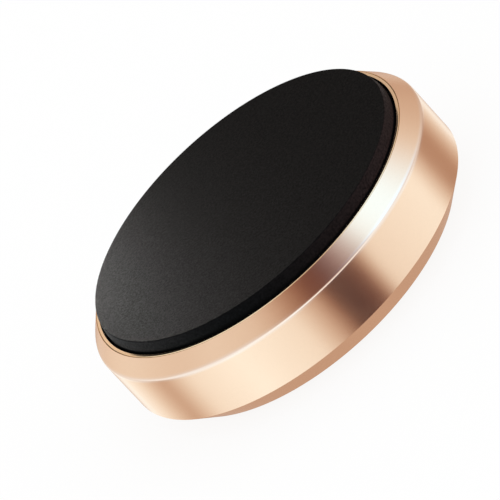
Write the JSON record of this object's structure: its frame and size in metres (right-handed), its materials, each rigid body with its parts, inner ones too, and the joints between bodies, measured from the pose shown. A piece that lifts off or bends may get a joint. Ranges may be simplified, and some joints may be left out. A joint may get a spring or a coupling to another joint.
{
  "type": "magnetic dashboard phone mount",
  "caption": "Round stick-on magnetic phone mount: a turned aluminium cup with a conical bezel, magnets in a moulded carrier, a raised silicone grip pad and a foam adhesive base.",
  "frame": {"origin": "centre of the foam disc's lower face, the adhesive face that goes on the dashboard", "axes": "+Z is the axis of the cup, away from the dashboard and out through the grip pad; +X runs through the first magnet"},
  "size_m": [0.04, 0.04, 0.0115],
  "materials": {
    "rose_aluminium": "turned, blasted satin and anodised in a rose gold tone",
    "black_silicone": "matte moulded silicone with a fine grain",
    "black_abs": "fine moulded texture",
    "zinc_steel": "stamped and zinc plated",
    "nickel_plate": "bright nickel plating",
    "acrylic_tape": "clear acrylic adhesive on a film",
    "grey_foam": "closed-cell acrylic foam with a die-cut edge"
  },
  "bodies": {
    "root": {"housing": "rose_aluminium", "grip_pad": "black_silicone", "pad_tape": "acrylic_tape", "magnet_carrier": "black_abs", "magnet_1": "nickel_plate", "magnet_2": "nickel_plate", "magnet_3": "nickel_plate", "magnet_4": "nickel_plate", "magnet_5": "nickel_plate", "magnet_6": "nickel_plate", "yoke_plate": "zinc_steel", "mounting_pad": "grey_foam"}
  },
  "joints": []
}
